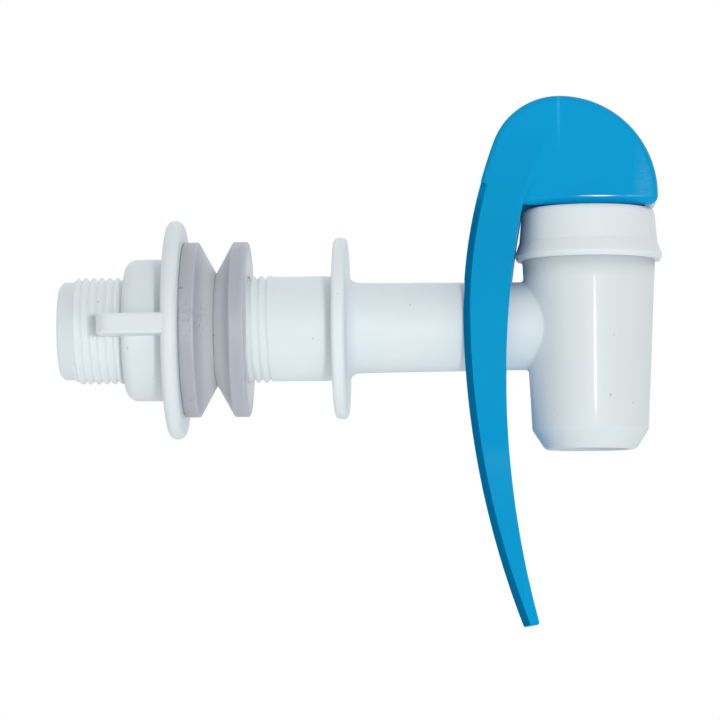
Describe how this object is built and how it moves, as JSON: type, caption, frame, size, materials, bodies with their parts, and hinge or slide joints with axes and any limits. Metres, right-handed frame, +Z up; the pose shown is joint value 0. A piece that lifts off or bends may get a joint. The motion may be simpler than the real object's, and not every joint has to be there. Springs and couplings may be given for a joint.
{
  "type": "dispenser tap",
  "caption": "Push-lever dispenser tap with a threaded shank, wall flange, winged lock nut, tapered seals, sprung valve and a curved paddle lever that rocks to open the outlet.",
  "frame": {"origin": "centre of the mounting flange's rear face, on the shank's axis", "axes": "+X along the shank towards the user, +Y to the side, +Z up along the valve's stem"},
  "size_m": [0.1128, 0.041, 0.0984],
  "materials": {
    "body_plastic": "glossy white moulding",
    "bonnet_plastic": "semi-gloss white moulding",
    "lever_plastic": "glossy blue moulding",
    "stem_plastic": "natural acetal",
    "spring_steel": "bright wire",
    "cup_silicone": "translucent silicone",
    "seal_silicone": "translucent silicone",
    "nut_plastic": "glossy white moulding"
  },
  "bodies": {
    "valve_body": {"tap_body": "body_plastic", "bonnet": "bonnet_plastic", "seat_cup": "cup_silicone", "return_spring": "spring_steel"},
    "plunger": {"stem": "stem_plastic"},
    "handle": {"lever": "lever_plastic"},
    "washers": {"front_seal": "seal_silicone", "rear_seal": "seal_silicone"},
    "nut": {"lock_nut": "nut_plastic"}
  },
  "joints": [
    {"name": "stem_lift", "type": "slide", "parent": "valve_body", "child": "plunger", "axis": [0, 0, 1], "range_m": [0, 0.0025], "deforming": ["return_spring", "seat_cup"]},
    {"name": "lever_rock", "type": "hinge", "parent": "plunger", "child": "handle", "pos_m": [0.0476, 0, 0.0266], "axis": [0, 1, 0], "range_deg": [0, 12], "stiffness_Nm_per_rad": 0.16, "springref_deg": -24.64},
    {"name": "washer_slide", "type": "slide", "parent": "valve_body", "child": "washers", "axis": [1, 0, 0], "range_m": [-0.0084, 0.013]},
    {"name": "nut_turn", "type": "hinge", "parent": "washers", "child": "nut", "pos_m": [-0.0335, 0, 0], "axis": [1, 0, 0], "range_deg": [-2012, 3119]}
  ],
  "couplings": [
    {"joint": "stem_lift", "follows": "lever_rock", "m_per_rad": 0.01185},
    {"joint": "washer_slide", "follows": "nut_turn", "m_per_rad": 0.00023873}
  ]
}
